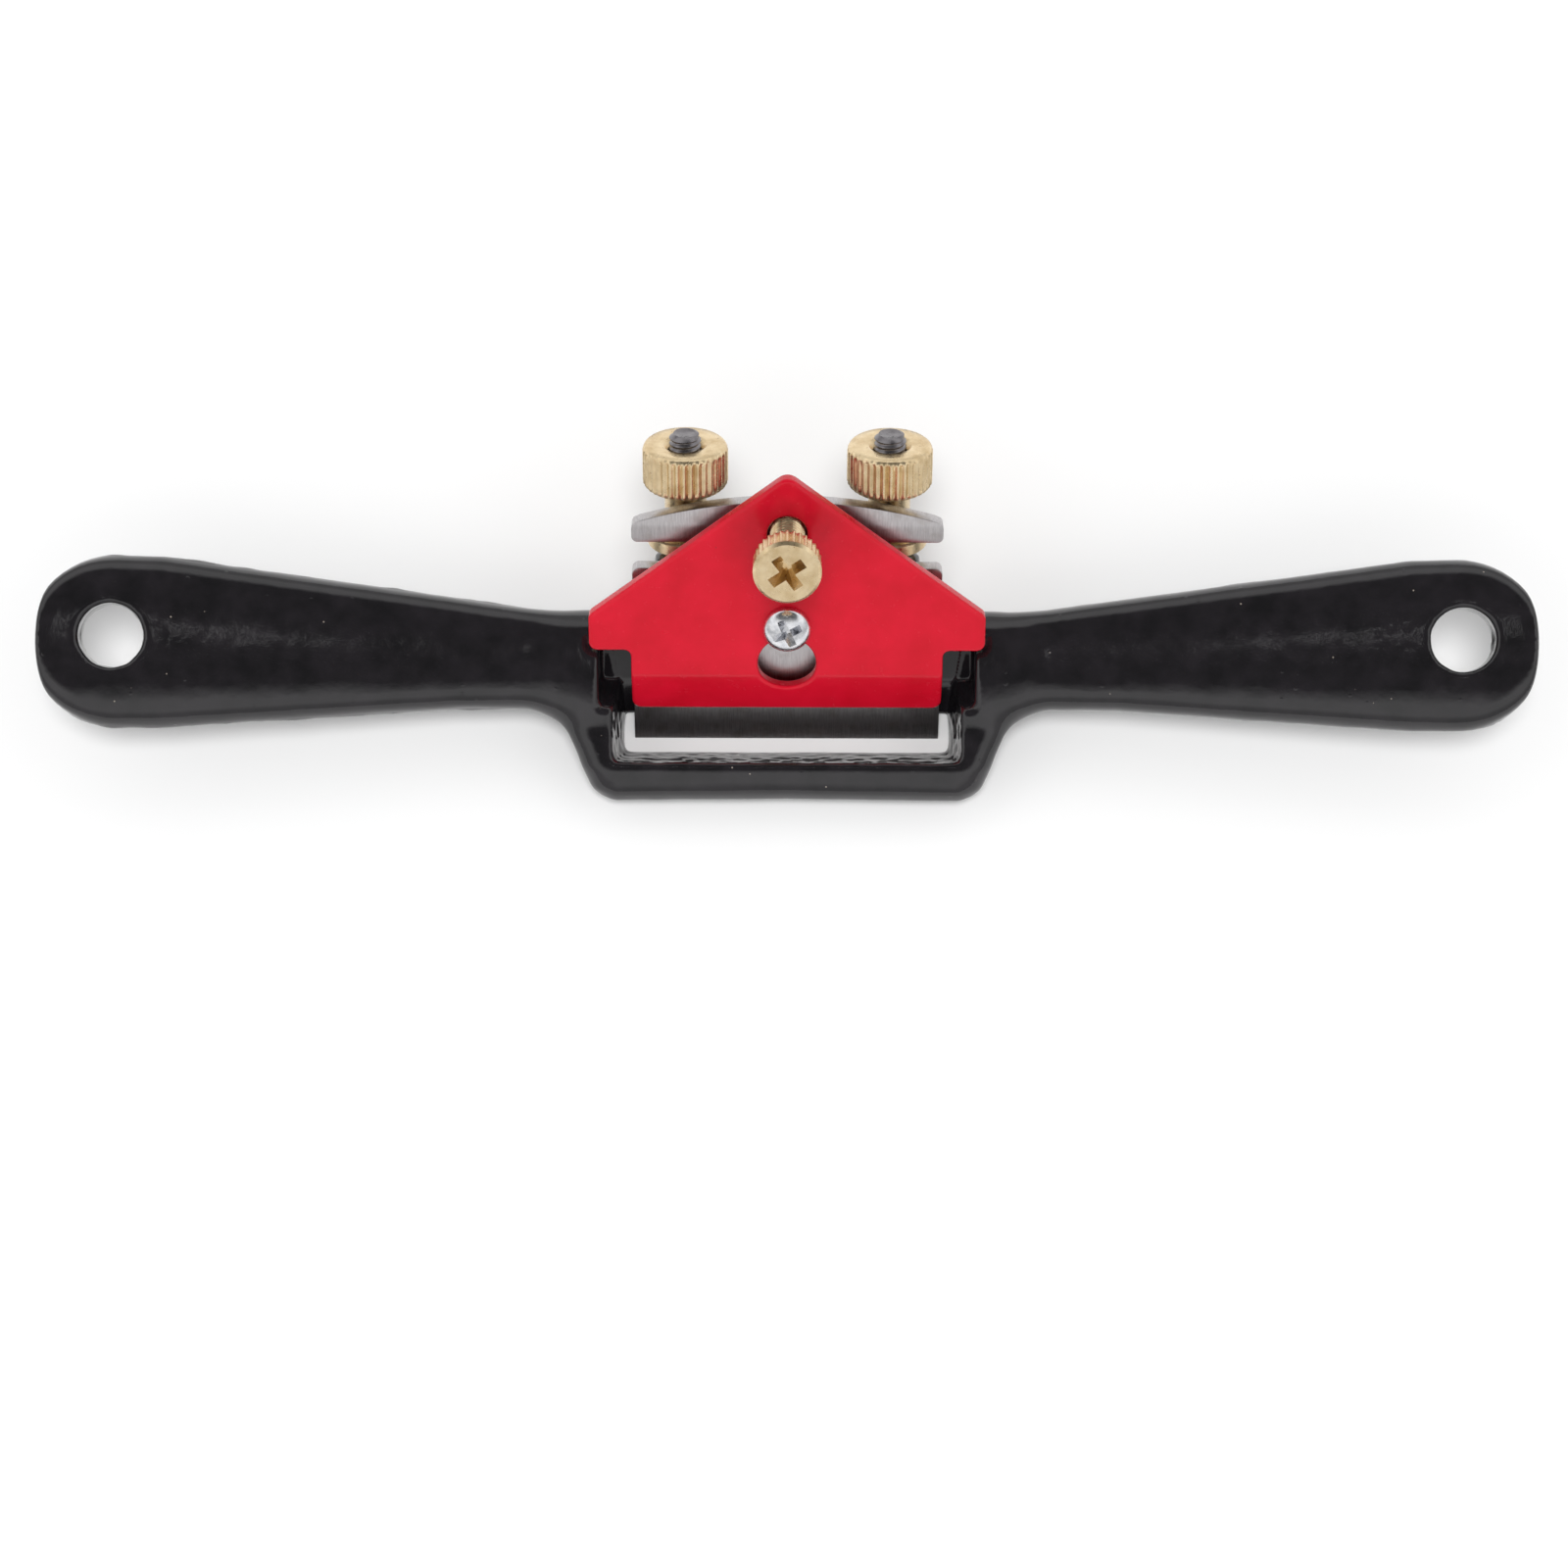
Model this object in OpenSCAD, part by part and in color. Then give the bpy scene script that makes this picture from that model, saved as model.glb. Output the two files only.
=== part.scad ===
// Metal spokeshave with two blade adjusters.
// Frame: origin at the middle of the cutting edge, on the plane of the sole. +Z is up from the sole,
// +X runs along the handles and the toe lies towards -Y. Millimetres.

/* [Overall] */
// Length over both handles
overall_len = 210; // [200:1:230]
// Angle of the blade bed above the sole
bed_angle = 45; // [43:1:47]

/* [Handles] */
// Height of the grip at its widest, across the tool
grip_h = 24.5; // [22:0.5:26]
// Height of the neck, where a handle meets the head
neck_h = 13.75; // [13:0.25:15]
// Thickness of the grip
grip_t = 10; // [9:0.5:11]
// Thickness of the neck
neck_t = 9.2; // [8.6:0.2:9.4]
// Upsweep of each handle
upsweep = 5; // [3:1:7]
// Tilt of the flat of the grips above the sole
grip_tilt = 15; // [12:1:18]
// Diameter of the hole for hanging
hang_d = 9; // [7:0.5:10]
// Distance of the hanging hole from the middle of the tool
hang_x = 94; // [90:0.5:95]

/* [Head] */
// Half the width of the toe at its front edge
toe_half_w = 24.7; // [24:0.1:26]
// Half the width of the mouth at the sole
mouth_half_w = 22.7; // [22.2:0.1:23]
// Gap between the cutting edge and the toe, at the sole
mouth_gap = 1.7; // [1.2:0.1:2.5]

/* [Blade] */
// Width of the blade
blade_w = 43; // [42:0.5:43.5]
// Length of the blade on its centre line
blade_len = 37.2; // [36.5:0.1:37.6]
// Thickness of the blade
blade_t = 2.3; // [2:0.1:2.4]
// Bevel angle of the cutting edge
bevel_angle = 28; // [25:1:32]

/* [Cap iron] */
// Half the width of the cap across its wings
wing_half_w = 27.5; // [26:0.1:27.7]
// Half the width of the lip that presses on the blade
lip_half_w = 21.7; // [20:0.1:22]
// Thickness of the cap plate
cap_t = 2.1; // [1.8:0.1:2.2]
// Angle at which the lip is bent down
lip_angle = 20; // [18:1:21]

/* [Adjusters] */
// Distance of each adjuster from the middle
stud_x = 14.1; // [13.6:0.1:14.6]
// Diameter of the threaded studs
stud_d = 4.4; // [4:0.1:4.5]
// Diameter of the knurled head of a nut
nut_head_d = 11.8; // [10:0.1:12]
// Diameter of the flange that moves the blade
nut_flange_d = 10.6; // [10:0.1:10.8]

/* [Screws] */
// Diameter of the thumb screw's shank
thumb_d = 4.8; // [4:0.1:4.9]
// Diameter of the thumb screw's knurled head
thumb_head_d = 9.3; // [8:0.1:10]
// Diameter of the cap screw's shank
cap_screw_d = 4; // [3.5:0.1:4]
// Diameter of the cap screw's pan head
cap_screw_head_d = 6.6; // [6.2:0.1:7.2]

/* [Hidden] */
$fn = 48;
eps = 0.02;                 // working gap between flat faces that slide on each other
thread_grip = 0.05;         // how far a thread bites into the wall of its tapped hole
thread_pitch = 0.8;
thread_depth = 0.35;

// places along the blade (v), measured up from the cutting edge
notch_v = 27;               // lower edge of the adjuster notches
strip_v = 31;               // upper edge of the notches, where the top strip begins
notch_x = 8.3;              // inner end of a notch
blade_side_v = 34.3;        // upper end of the blade's straight sides
blade_top_r = 71;           // radius of the arched top edge
blade_corner_r = 1.6;
cap_screw_v = 20;           // axis of the cap screw
thumb_v = 34.2;             // axis of the thumb screw
blade_slot_v = [15.8, 23.4];
blade_slot_w = cap_screw_d + 0.6;

// cap iron, in the same measure
cap_under = 2.2;            // height of its underside above the blade
cap_top = cap_under + cap_t;
cap_bend_v = 12.53;
lip_len = 7;
apex_v = 43.1;
apex_r = 1.9;
wing_top_v = 21.7;
wing_low_v = 16.3;
wing_r = 1.2;
lip_r = 1.6;
keyhole_v = 14.2;
keyhole_d = 8.1;
keyslot_w = cap_screw_d + 0.4;
thumb_hole_d = thumb_d + 0.7;

// adjusters
stud_w = -5.4;              // axis of the studs, behind the front face of the blade
stud_foot_v = 15;
stud_end_v = 45;
boss_d = 8.6;
boss_top_v = 26.6;
boss_low_v = 8;
frog_v = [6, 23.5];         // the frog is the plate under the blade, with the bosses of the studs behind it
frog_t = 6.5;
frog_half_w = stud_x + boss_d / 2;
flange_v = [28.4, 30.4];
nut_head_v = [37.2, 43.4];
neck_d = 5.8;
nut_bore_d = stud_d + 0.1;

// screws
thumb_head_w = [11.5, 15.7];
pan_h = 2.1;
cap_screw_foot_w = -8;
recess_w = 0.95;            // width of the arms of a cross recess

// handles, in the plane of the grips: x runs out along a handle, y across it and z out of its face
tip_x = overall_len / 2;
end_r = 12.3;               // radius of the rounded end of a grip
grip_x = 87;                // where the grip is widest
neck_x = 46;
root_x = 31;
grip_start = 20;            // the handles start inside the head
root_low = 3.75;            // lower edge of the neck
root_top = root_low + neck_h;
root_mid = 10.9;
grip_mid = 13.03;           // middle of the widest section
root_q = 5.4;
root_crown_r = 12;
grip_crown_r = 23.5;
hang_p = 13.8;

// the straight line through a at t = 0 and b at t = 1
function extend(a, b, t) = a + (b - a) * t;
function ramp(x, x0, x1) = (x - x0) / (x1 - x0);

// 2D corner list with every corner rounded to its own radius
function arc_at(a, b, c, r) =
    let (u = (a - b) / norm(a - b),
         w = (c - b) / norm(c - b),
         half = acos(max(-1, min(1, u * w))) / 2,
         middle = b + (u + w) / norm(u + w) * r / sin(half),
         start = b + u * r / tan(half) - middle,
         sweep = 180 - 2 * half,
         turn = (u[0] * w[1] - u[1] * w[0]) > 0 ? -1 : 1,
         steps = ceil(sweep * sqrt(r) / 14))
    [for (i = [0 : steps])
        let (t = turn * sweep * i / steps)
        middle + [start[0] * cos(t) - start[1] * sin(t), start[0] * sin(t) + start[1] * cos(t)]];
function rounded(points, radii) =
    let (n = len(points))
    [for (i = [0 : n - 1])
        each (radii[i] == 0 ? [points[i]]
              : arc_at(points[(i + n - 1) % n], points[i], points[(i + 1) % n], radii[i]))];

// the right half of an outline, followed by its mirror image
function both_sides(points) =
    concat(points, [for (i = [len(points) - 1 : -1 : 0])
                    if (points[i][0] > 0) [-points[i][0], points[i][1]]]);

// places its children on the blade: Y runs up the blade and Z out of its front face
module on_blade() { rotate([bed_angle, 0, 0]) children(); }

// places its children in the plane of the grips
module on_grips() { rotate([grip_tilt, 0, 0]) children(); }

// turns an outline drawn in Y and Z into a bar along X
module along_x(half_len) {
    rotate([90, 0, 90]) translate([0, 0, -half_len]) linear_extrude(2 * half_len) children();
}

// an axis that runs up the blade, with z = 0 at the cutting edge
module up_blade(x, w) { translate([x, 0, w]) rotate([-90, 0, 0]) children(); }

// ---- body casting ----
// a cone whose ends are centred on two points
module cone_between(a, b, ra, rb) {
    way = b - a;
    translate(a) rotate([0, acos(way[2] / norm(way)), atan2(way[1], way[0])])
        cylinder(r1 = ra, r2 = rb, h = norm(way), $fn = 96);
}

// one face of the grips, crowned across and tapering along the handle; face is 1 or -1
module crown(face) {
    reach = [grip_start, tip_x + 5];
    middle = [for (x = reach) extend(root_mid, grip_mid, ramp(x, root_x, grip_x))];
    half_t = [for (x = reach) extend(neck_t, grip_t, ramp(x, root_x, grip_x)) / 2];
    radius = [for (x = reach) extend(root_crown_r, grip_crown_r, ramp(x, root_x, grip_x))];
    ends = [for (i = [0, 1]) [reach[i], middle[i], face * (half_t[i] - radius[i])]];
    cone_between(ends[0], ends[1], radius[0], radius[1]);
}

// puts its children on the upswept line of the right handle
module on_upsweep() {
    translate([root_x, 0, root_q]) rotate([0, -upsweep, 0]) translate([-root_x, 0, 0]) children();
}

module right_handle() {
    outline = [[grip_start, root_low], [neck_x, root_low], [grip_x, grip_mid - grip_h / 2],
               [tip_x, grip_mid - grip_h / 2], [tip_x, grip_mid + grip_h / 2],
               [grip_x, grip_mid + grip_h / 2], [root_x, root_top], [grip_start, root_top]];
    side_view = [[grip_start, -grip_t / 2], [tip_x + 0.3, -grip_t / 2], [tip_x + 0.3, grip_t / 2],
                 [grip_start, grip_t / 2]];
    on_grips() intersection() {
        translate([0, 0, -20]) linear_extrude(60)
            polygon(rounded(outline, [0, 8, 8, end_r - 0.1, end_r - 0.1, 8, 8, 0]));
        on_upsweep() rotate([90, 0, 0]) translate([0, 0, -40]) linear_extrude(80)
            polygon(rounded(side_view, [0, 3.6, 3.6, 0]));
        on_upsweep() crown(1);
        on_upsweep() crown(-1);
    }
}

// toe, cheeks and heel: three outlines, seen from the side, from above and from the front
side_outline = [[-9, 0], [13.6, 0], [14.6, 1], [15.6, 8], [15.3, 11.2], [12, 13], [5.6, 11.6],
                [-1, 8.8], [-6.5, 7], [-9.6, 5], [-10.8, 3], [-10.2, 1.1]];
plan_outline = [[toe_half_w, -9.5], [27.5, -7.5], [30.2, -2.9], [32.9, 0.75], [36, 2.6], [36, 17.6]];
front_outline = [[25.4, 0], [27, 0.8], [30.5, 4], [36, 6.5], [36, 20]];

module head_block() {
    intersection() {
        along_x(40) polygon(side_outline);
        on_grips() translate([0, 0, -20]) linear_extrude(60) polygon(both_sides(plan_outline));
        rotate([90, 0, 0]) translate([0, 0, -30]) linear_extrude(60) polygon(both_sides(front_outline));
    }
}

module frog() {
    on_blade() {
        translate([-frog_half_w, frog_v[0], -blade_t - frog_t])
            cube([2 * frog_half_w, frog_v[1] - frog_v[0], frog_t]);
        for (side = [-1, 1]) {
            up_blade(side * stud_x, stud_w) translate([0, 0, boss_low_v])
                cylinder(d = boss_d, h = boss_top_v - boss_low_v);
            translate([side * stud_x - boss_d / 2, boss_low_v, stud_w])
                cube([boss_d, boss_top_v - boss_low_v, -blade_t - stud_w]);
        }
    }
}

// space above the bed, in three widths: at the blade, beside the lip and under the wings of the cap
pocket_half_w = [24, 26.2, 27.9];
pocket_low_v = [-20, 8.2, 15.7];
pocket_floor_w = [-blade_t, -blade_t, 1.9];

module pocket_step(i) {
    on_blade() translate([-pocket_half_w[i], pocket_low_v[i], pocket_floor_w[i]])
        cube([2 * pocket_half_w[i], 60, 30]);
}

module bed_pocket() {
    intersection() {
        pocket_step(0);
        mouth_sides();
    }
    pocket_step(1);
    pocket_step(2);
}

// the back of the toe, seen from the side: it leans away from the blade, so the throat opens upwards
toe_back = [[-mouth_gap, -1], [-mouth_gap, 0], [-5.1, 6], [-5.6, 12]];
mouth_back_y = blade_t / cos(bed_angle);

// the toe that stays in front of the pocket
module toe_keep() { along_x(40) polygon(concat(toe_back, [[-40, 12], [-40, -1]])); }

// the space between the sides of the mouth, which lean outwards up to the width of the pocket
module mouth_sides() {
    rotate([90, 0, 0]) translate([0, 0, -50]) linear_extrude(100)
        polygon(both_sides([[mouth_half_w, -1], [mouth_half_w, 0], [pocket_half_w[0] + 0.1, 7],
                            [pocket_half_w[0] + 0.1, 60]]));
}

module mouth() {
    intersection() {
        along_x(40) polygon(concat(toe_back, [[mouth_back_y, 12], [mouth_back_y, -1]]));
        mouth_sides();
    }
}

module hang_hole(side) {
    mirror([side < 0 ? 1 : 0, 0, 0]) on_grips() on_upsweep() translate([hang_x, hang_p, 0])
        cylinder(d = hang_d, h = 30, center = true);
}

module body_casting() {
    color([0.05, 0.05, 0.055])
    difference() {
        union() {
            right_handle();
            mirror([1, 0, 0]) right_handle();
            head_block();
            frog();
        }
        difference() {
            bed_pocket();
            toe_keep();
        }
        mouth();
        translate([-60, -60, -40]) cube([120, 120, 40]);
        for (side = [-1, 1]) {
            hang_hole(side);
            on_blade() up_blade(side * stud_x, stud_w) translate([0, 0, stud_foot_v])
                cylinder(d = stud_d - 2 * thread_grip, h = 40);
        }
        on_blade() translate([0, cap_screw_v, cap_screw_foot_w])
            cylinder(d = cap_screw_d - 2 * thread_grip, h = 40);
    }
}

// ---- studs ----
// a rod with its thread drawn as rings over the last stretch
module threaded_rod(d, length, threads_from) {
    rings = floor((length - 1 - threads_from) / thread_pitch);
    difference() {
        cylinder(d = d, h = length - 0.6);
        for (i = [0 : rings - 1]) translate([0, 0, threads_from + i * thread_pitch])
            rotate_extrude() polygon([[d / 2 + 1, -1], [d / 2 + 1, 1], [d / 2 - thread_depth, 0]]);
    }
    translate([0, 0, length - 0.6]) cylinder(d1 = d, d2 = d - 1, h = 0.6);
}

module stud(side) {
    color([0.2, 0.2, 0.21])
    on_blade() up_blade(side * stud_x, stud_w) translate([0, 0, stud_foot_v])
        threaded_rod(stud_d, stud_end_v - stud_foot_v, nut_head_v[1] - stud_foot_v - 1.5);
}

module left_stud() { stud(-1); }

module right_stud() { stud(1); }

// a slot with rounded ends, cut right through a plate
module long_slot(width, low, high) {
    half = width / 2;
    translate([0, 0, -10]) linear_extrude(30)
        polygon(rounded([[-half, low], [half, low], [half, high], [-half, high]],
                        [for (i = [0 : 3]) half - 0.02]));
}

// ---- blade ----
module blade_outline() {
    half = blade_w / 2;
    shoulder = rounded([[-half, 0], [half, 0], [half, notch_v], [-half, notch_v]], [0, 0, 1, 1]);
    polygon(shoulder);
    translate([-notch_x, notch_v - 1]) square([2 * notch_x, strip_v - notch_v + 2]);
    intersection() {
        polygon(rounded([[-half, strip_v], [half, strip_v], [half, blade_side_v], [half - 3, 40],
                         [3 - half, 40], [-half, blade_side_v]],
                        [0.6, 0.6, blade_corner_r, 0, 0, blade_corner_r]));
        translate([0, blade_len - blade_top_r]) circle(r = blade_top_r, $fn = 180);
    }
}

module blade() {
    color([0.55, 0.55, 0.57])
    on_blade() difference() {
        translate([0, 0, -blade_t]) linear_extrude(blade_t) blade_outline();
        rotate([-bevel_angle, 0, 0]) translate([-50, -20, -20]) cube([100, 60, 20]);
        long_slot(blade_slot_w, blade_slot_v[0], blade_slot_v[1]);
    }
}

// ---- adjuster nuts ----
// outline of a wheel with straight knurling
module knurl(d, teeth, depth) {
    polygon([for (i = [0 : 2 * teeth - 1])
             let (r = d / 2 - (i % 2) * depth, a = 180 * i / teeth) [r * cos(a), r * sin(a)]]);
}

module knurled_head(d, h, teeth, edge) {
    intersection() {
        linear_extrude(h) knurl(d, teeth, 0.35);
        rotate_extrude() polygon([[0, 0], [d / 2 - edge, 0], [d / 2 + edge, 2 * edge],
                                  [d / 2 + edge, h - 2 * edge], [d / 2 - edge, h], [0, h]]);
    }
}

module adjuster_nut(side) {
    color([0.83, 0.7, 0.45])
    on_blade() up_blade(side * stud_x, stud_w) difference() {
        union() {
            translate([0, 0, flange_v[0]]) cylinder(d = nut_flange_d, h = flange_v[1] - flange_v[0]);
            translate([0, 0, flange_v[0]]) cylinder(d = neck_d, h = nut_head_v[0] - flange_v[0] + 1);
            translate([0, 0, nut_head_v[0]])
                knurled_head(nut_head_d, nut_head_v[1] - nut_head_v[0], 36, 0.4);
        }
        cylinder(d = nut_bore_d, h = 60);
        translate([0, 0, nut_head_v[1] - 0.5]) cylinder(d1 = nut_bore_d - 0.2, d2 = nut_bore_d + 1, h = 0.6);
    }
}

module left_adjuster_nut() { adjuster_nut(-1); }

module right_adjuster_nut() { adjuster_nut(1); }

// ---- cap iron ----
lip_end = cap_bend_v - lip_len * cos(lip_angle);

// the plate seen from the front
module cap_outline() {
    polygon(rounded([[wing_half_w, wing_low_v], [wing_half_w, wing_top_v], [0, apex_v],
                     [-wing_half_w, wing_top_v], [-wing_half_w, wing_low_v], [-lip_half_w, wing_low_v],
                     [-lip_half_w, lip_end - 0.2], [lip_half_w, lip_end - 0.2], [lip_half_w, wing_low_v]],
                    [wing_r, wing_r, apex_r, wing_r, wing_r, 1, lip_r, lip_r, 1]));
}

// the plate seen from its side: flat, then bent down at the lip
module cap_profile() {
    along = [-cos(lip_angle), -sin(lip_angle)];
    across = [sin(lip_angle), -cos(lip_angle)];
    bend = [cap_bend_v, cap_top];
    polygon([[apex_v + 5, cap_under], [apex_v + 5, cap_top], bend, bend + lip_len * along,
             bend + lip_len * along + cap_t * across, [cap_bend_v + cap_t * tan(lip_angle / 2), cap_under]]);
}

module cap_iron() {
    color([0.78, 0.06, 0.1])
    on_blade() difference() {
        intersection() {
            translate([0, 0, -5]) linear_extrude(20) cap_outline();
            along_x(40) cap_profile();
        }
        translate([0, thumb_v, -5]) cylinder(d = thumb_hole_d, h = 20);
        translate([0, keyhole_v, -5]) cylinder(d = keyhole_d, h = 20);
        long_slot(keyslot_w, keyhole_v - keyslot_w / 2, cap_screw_v + keyslot_w / 2);
        translate([-40, -10, eps - 10]) cube([80, 60, 10]);
    }
}

// ---- screws ----
module cross_recess(arm, depth) {
    for (a = [0, 90]) rotate(a) translate([-arm, -recess_w / 2, -depth]) cube([2 * arm, recess_w, depth + 1]);
    translate([0, 0, -depth]) cylinder(d1 = 1.2 * recess_w, d2 = 2 * recess_w, h = depth + 0.1);
}

module thumb_screw() {
    color([0.85, 0.72, 0.47])
    on_blade() translate([0, thumb_v, 0]) difference() {
        union() {
            translate([0, 0, eps]) cylinder(d1 = thumb_d - 1.2, d2 = thumb_d, h = 0.6);
            translate([0, 0, eps + 0.6]) cylinder(d = thumb_d, h = thumb_head_w[0] - eps);
            translate([0, 0, thumb_head_w[0]])
                knurled_head(thumb_head_d, thumb_head_w[1] - thumb_head_w[0], 32, 0.4);
        }
        translate([0, 0, thumb_head_w[1]]) rotate(20) cross_recess(2.35, 1.8);
    }
}

module cap_screw() {
    color([0.75, 0.76, 0.78])
    on_blade() translate([0, cap_screw_v, 0]) difference() {
        union() {
            translate([0, 0, cap_screw_foot_w])
                cylinder(d = cap_screw_d, h = cap_top + eps - cap_screw_foot_w);
            translate([0, 0, cap_top + eps]) pan_head(cap_screw_head_d, pan_h);
        }
        translate([0, 0, cap_top + pan_h]) rotate(-12) cross_recess(1.9, 1.4);
    }
}

// a low dome over a short straight rim
module pan_head(d, h) {
    rim = 0.7;
    dome_r = (pow(d / 2, 2) + pow(h - rim, 2)) / (2 * (h - rim));
    intersection() {
        cylinder(d = d, h = h);
        translate([0, 0, h - dome_r]) sphere(r = dome_r, $fn = 96);
    }
}

body_casting();
left_stud();
right_stud();
blade();
left_adjuster_nut();
right_adjuster_nut();
cap_iron();
thumb_screw();
cap_screw();
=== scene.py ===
"""Looks of the spokeshave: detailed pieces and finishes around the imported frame, on a lit floor.

Pieces are worked out in millimetres and made in metres. x runs along the handles. The grips lie in a
plane tilted by GRIP_TILT, with p across them and q out of it, and the blade lies on its bed, with v up
from the cutting edge and w out of its front face.
"""
import math

import bmesh
import bpy
import numpy as np
from mathutils import Matrix


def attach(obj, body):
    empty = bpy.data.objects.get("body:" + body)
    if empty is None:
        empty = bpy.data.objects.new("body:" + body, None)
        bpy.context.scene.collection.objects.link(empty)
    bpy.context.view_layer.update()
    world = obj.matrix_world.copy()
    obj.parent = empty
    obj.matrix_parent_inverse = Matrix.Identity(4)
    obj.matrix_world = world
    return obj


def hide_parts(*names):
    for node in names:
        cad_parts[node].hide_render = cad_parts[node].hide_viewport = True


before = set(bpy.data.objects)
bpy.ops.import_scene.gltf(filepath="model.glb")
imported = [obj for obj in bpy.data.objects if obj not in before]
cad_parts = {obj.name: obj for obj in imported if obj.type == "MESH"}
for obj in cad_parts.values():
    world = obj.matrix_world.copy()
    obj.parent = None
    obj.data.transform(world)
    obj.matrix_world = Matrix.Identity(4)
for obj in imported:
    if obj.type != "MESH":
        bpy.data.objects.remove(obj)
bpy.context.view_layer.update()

MM = 0.001
BED_ANGLE = 45
GRIP_TILT = 15
UPSWEEP = 5
ROOT = (31, 5.4)                # x and q of the point where the upswept line of a handle starts

BLADE_T = 2.3
STUD_X, STUD_W = 14.1, -5.4
THREAD_PITCH = 0.8
CAP_UNDER, CAP_TOP = 2.2, 4.3
CAP_SCREW_V, THUMB_V = 20, 34.2
BEND_V, LIP_LEN, LIP_ANGLE = 12.53, 7, 20
KEYHOLE_V = 14.2
HANG_S, HANG_P = 94, 13.8        # the hanging hole, along and across a handle
TIP_X = 105


# ---- shapes as signed distances, negative inside ----
def turned(u, v, degrees):
    """(u, v) as measured on axes that are turned by degrees."""
    c, s = math.cos(math.radians(degrees)), math.sin(math.radians(degrees))
    return u * c + v * s, v * c - u * s


def meet(a, b, k):
    """What two shapes share, with the edge between them rounded over about k."""
    h = np.maximum(k - np.abs(a - b), 0) / k
    return np.maximum(a, b) + h * h * k / 4


def join(a, b, k):
    """Two shapes as one, with a fillet of about k between them."""
    return -meet(-a, -b, k)


def cut(a, b, k):
    """Shape a without b."""
    return meet(a, -b, k)


def slab(u, low, high):
    """What lies between two flat faces."""
    return np.maximum(low - u, u - high)


def rounded(points, radii):
    """An outline whose corners are arcs of these radii."""
    out = []
    for i, r in enumerate(radii):
        a, b, c = (np.array(points[(i + k) % len(points)], float) for k in (-1, 0, 1))
        if r == 0:
            out.append(b)
            continue
        u, w = (a - b) / np.linalg.norm(a - b), (c - b) / np.linalg.norm(c - b)
        half = math.acos(max(-1, min(1, float(u @ w)))) / 2
        middle = b + (u + w) / np.linalg.norm(u + w) * r / math.sin(half)
        start = b + u * r / math.tan(half) - middle
        sweep = (math.pi - 2 * half) * (-1 if u[0] * w[1] - u[1] * w[0] > 0 else 1)
        for t in np.linspace(0, sweep, max(3, int(abs(math.degrees(sweep)) / 6))):
            out.append(middle + [start[0] * math.cos(t) - start[1] * math.sin(t),
                                 start[0] * math.sin(t) + start[1] * math.cos(t)])
    return np.array(out)


def outline_distance(points, u, v):
    """Distance from (u, v) to a closed outline, negative inside it."""
    points = np.asarray(points, float)
    near = None
    inside = False
    for a, b in zip(points, np.roll(points, -1, 0)):
        e = b - a
        du, dv = u - a[0], v - a[1]
        t = np.clip((du * e[0] + dv * e[1]) / (e @ e), 0, 1)
        far = (du - t * e[0]) ** 2 + (dv - t * e[1]) ** 2
        near = far if near is None else np.minimum(near, far)
        if e[1] != 0:
            crossing = (a[1] <= v) != (b[1] <= v)
            inside = inside ^ (crossing & (u < a[0] + dv * e[0] / e[1]))
    return np.where(inside, -1, 1) * np.sqrt(near)


def lookup(points, low, high, step=0.1):
    """A quick way to ask for the distance to an outline, from a table."""
    us, vs = (np.arange(low[i], high[i] + step, step) for i in (0, 1))
    table = outline_distance(points, us[:, None], vs[None, :]).astype(np.float32)

    def distance(u, v):
        fu = np.clip((u - low[0]) / step, 0, len(us) - 1.001)
        fv = np.clip((v - low[1]) / step, 0, len(vs) - 1.001)
        i, j = fu.astype(np.int32), fv.astype(np.int32)
        fu, fv = fu - i, fv - j
        return ((table[i, j] * (1 - fu) + table[i + 1, j] * fu) * (1 - fv)
                + (table[i, j + 1] * (1 - fu) + table[i + 1, j + 1] * fu) * fv)

    return distance


# ---- noise and relief ----
def lattice(i, j, k, seed):
    """A random number from -1 to 1 for each whole-numbered place."""
    h = (i * 374761393 + j * 668265263 + k * 1440662683 + seed * 1274126177) & 0xFFFFFFFF
    h = ((h ^ (h >> 13)) * 1274126177) & 0xFFFFFFFF
    return ((h ^ (h >> 16)) & 0xFFFF) / 32767.5 - 1


def noise(points, size, seed):
    """Smooth random values from -1 to 1 that change over size: a number, or one for each axis."""
    scaled = points / np.asarray(size, float)
    cell = np.floor(scaled).astype(np.int64)
    t = scaled - cell
    t = t * t * (3 - 2 * t)
    total = 0
    for di in (0, 1):
        for dj in (0, 1):
            for dk in (0, 1):
                weight = (abs(1 - di - t[:, 0]) * abs(1 - dj - t[:, 1]) * abs(1 - dk - t[:, 2]))
                total = total + weight * lattice(cell[:, 0] + di, cell[:, 1] + dj, cell[:, 2] + dk, seed)
    return total


def smooth(x, low, high):
    """Rises from 0 at low to 1 at high; low may be the larger."""
    t = np.clip((x - low) / (high - low), 0, 1)
    return t * t * (3 - 2 * t)


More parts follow.
